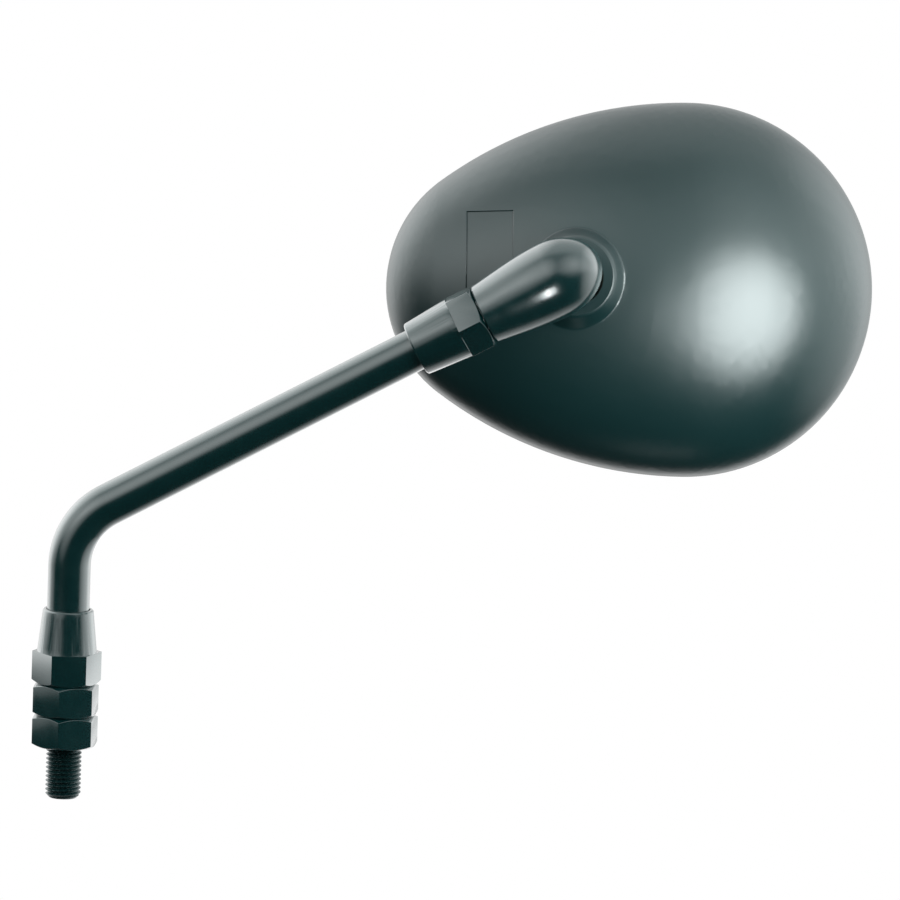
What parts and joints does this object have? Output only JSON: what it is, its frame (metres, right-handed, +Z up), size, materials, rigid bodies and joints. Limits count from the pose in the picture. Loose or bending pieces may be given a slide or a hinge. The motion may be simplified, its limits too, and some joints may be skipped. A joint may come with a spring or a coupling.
{
  "type": "motorcycle mirror",
  "caption": "Left-hand motorcycle mirror: egg-shaped black housing on a ball joint, at the end of a bent rod with a threaded mounting stud and lock nuts.",
  "frame": {"origin": "on the mounting stud's axis, at the underside of the lower lock nut, where the stud comes out", "axes": "+Z up the stud, +X from the stud towards the head, +Y towards the rider (the glass side)"},
  "size_m": [0.2335, 0.0814, 0.1937],
  "materials": {
    "black_steel": "gloss",
    "neck_casting": "gloss",
    "housing_plastic": "satin",
    "nylon": "satin",
    "zinc_plated_steel": "satin",
    "gasket_rubber": "matte",
    "mirror_glass": "polished"
  },
  "bodies": {
    "stem": {"stem_rod": "black_steel"},
    "lower_nut": {"lower_lock_nut": "black_steel"},
    "upper_nut": {"upper_lock_nut": "black_steel"},
    "base_nut": {"base_taper_nut": "black_steel"},
    "neck_nut": {"neck_taper_nut": "black_steel"},
    "neck": {"swivel_neck": "neck_casting"},
    "front_seat": {"front_ball_seat": "nylon"},
    "rear_seat": {"rear_ball_seat": "nylon"},
    "head": {"housing": "housing_plastic", "clamp_plate": "zinc_plated_steel", "clamp_screws": "zinc_plated_steel", "spring_washers": "zinc_plated_steel", "glass_gasket": "gasket_rubber", "mirror_glass": "mirror_glass"}
  },
  "joints": [
    {"name": "lower_nut_turn", "type": "hinge", "parent": "stem", "child": "lower_nut", "pos_m": [0, 0, 0], "axis": [0, 0, 1], "continuous": true},
    {"name": "upper_nut_turn", "type": "hinge", "parent": "stem", "child": "upper_nut", "pos_m": [0, 0, 0], "axis": [0, 0, 1], "continuous": true},
    {"name": "base_nut_turn", "type": "hinge", "parent": "stem", "child": "base_nut", "pos_m": [0, 0, 0], "axis": [0, 0, 1], "continuous": true},
    {"name": "neck_nut_turn", "type": "hinge", "parent": "stem", "child": "neck_nut", "pos_m": [0, 0, 0.0636], "axis": [0.8746, 0, 0.4848], "continuous": true},
    {"name": "neck_swivel", "type": "hinge", "parent": "stem", "child": "neck", "pos_m": [0, 0, 0.0636], "axis": [0.8746, 0, 0.4848], "continuous": true},
    {"name": "head_tilt", "type": "hinge", "parent": "neck", "child": "front_seat", "pos_m": [0.14092, 0.02345, 0.13362], "axis": [0.99, -0.1306, 0.0543], "range_deg": [-12, 12]},
    {"name": "head_pan", "type": "hinge", "parent": "front_seat", "child": "rear_seat", "pos_m": [0.14092, 0.02345, 0.13362], "axis": [-0.019, 0.2579, 0.966], "range_deg": [-12, 12]},
    {"name": "head_spin", "type": "hinge", "parent": "rear_seat", "child": "head", "pos_m": [0.14092, 0.02345, 0.13362], "axis": [0.1401, 0.9573, -0.2528], "continuous": true}
  ]
}
